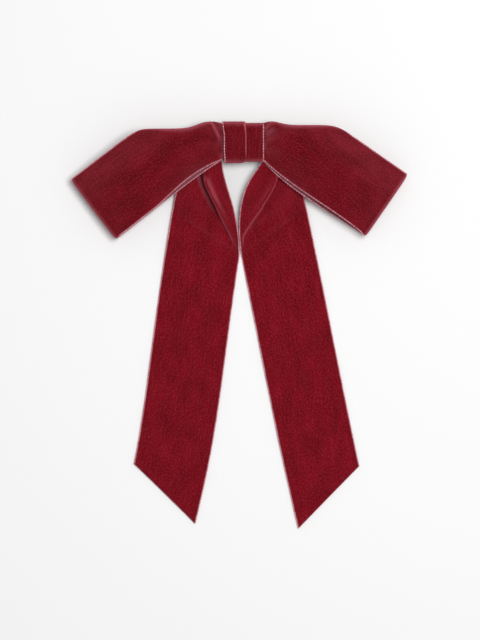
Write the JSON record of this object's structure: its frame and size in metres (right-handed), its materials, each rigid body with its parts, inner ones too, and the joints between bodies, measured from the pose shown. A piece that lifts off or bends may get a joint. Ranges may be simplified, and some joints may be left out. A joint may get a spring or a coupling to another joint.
{
  "type": "bow barrette",
  "caption": "Velvet ribbon bow with two loops, a pleated knot and long slanted tails, sewn to an arched spring hair clip.",
  "frame": {"origin": "middle of the clasp arm's flat underside, straight below the knot; z = 0 is the table the closed clip lies on", "axes": "+X across the loops towards the clip's hinge, +Y up the bow away from the tails' tips, +Z out of the bow's face"},
  "size_m": [0.1865, 0.2253, 0.0191],
  "materials": {
    "velvet": "short pile velvet, soft sheen",
    "thread": "waxed sewing thread",
    "plated_steel": "bright nickel plate, lightly worn",
    "spring_steel": "satin spring steel"
  },
  "bodies": {
    "root": {"loop_ribbon": "velvet", "tail_ribbon": "velvet", "knot_band": "velvet", "waist_thread": "thread", "band_stitches": "thread", "top_plate": "plated_steel", "hinge_pin": "plated_steel", "tension_spring": "spring_steel", "catch_base": "spring_steel", "catch_rivet": "plated_steel"},
    "arm": {"clasp_arm": "plated_steel"},
    "upper_tab": {"catch_tab_upper": "spring_steel"},
    "lower_tab": {"catch_tab_lower": "spring_steel"}
  },
  "joints": [
    {"name": "clasp_hinge", "type": "hinge", "parent": "root", "child": "arm", "pos_m": [0.0315, 0, 0.0035], "axis": [0, -1, 0], "range_deg": [0, 75]},
    {"name": "catch_squeeze", "type": "hinge", "parent": "root", "child": "upper_tab", "pos_m": [-0.0315, 0.0031, 0.0054], "axis": [-1, 0, 0], "range_deg": [0, 6], "stiffness_Nm_per_rad": 0.02},
    {"name": "catch_squeeze_lower", "type": "hinge", "parent": "root", "child": "lower_tab", "pos_m": [-0.0315, -0.0031, 0.0054], "axis": [1, 0, 0], "range_deg": [0, 6], "stiffness_Nm_per_rad": 0.02}
  ],
  "couplings": [
    {"joint": "catch_squeeze_lower", "follows": "catch_squeeze", "ratio": 1}
  ]
}
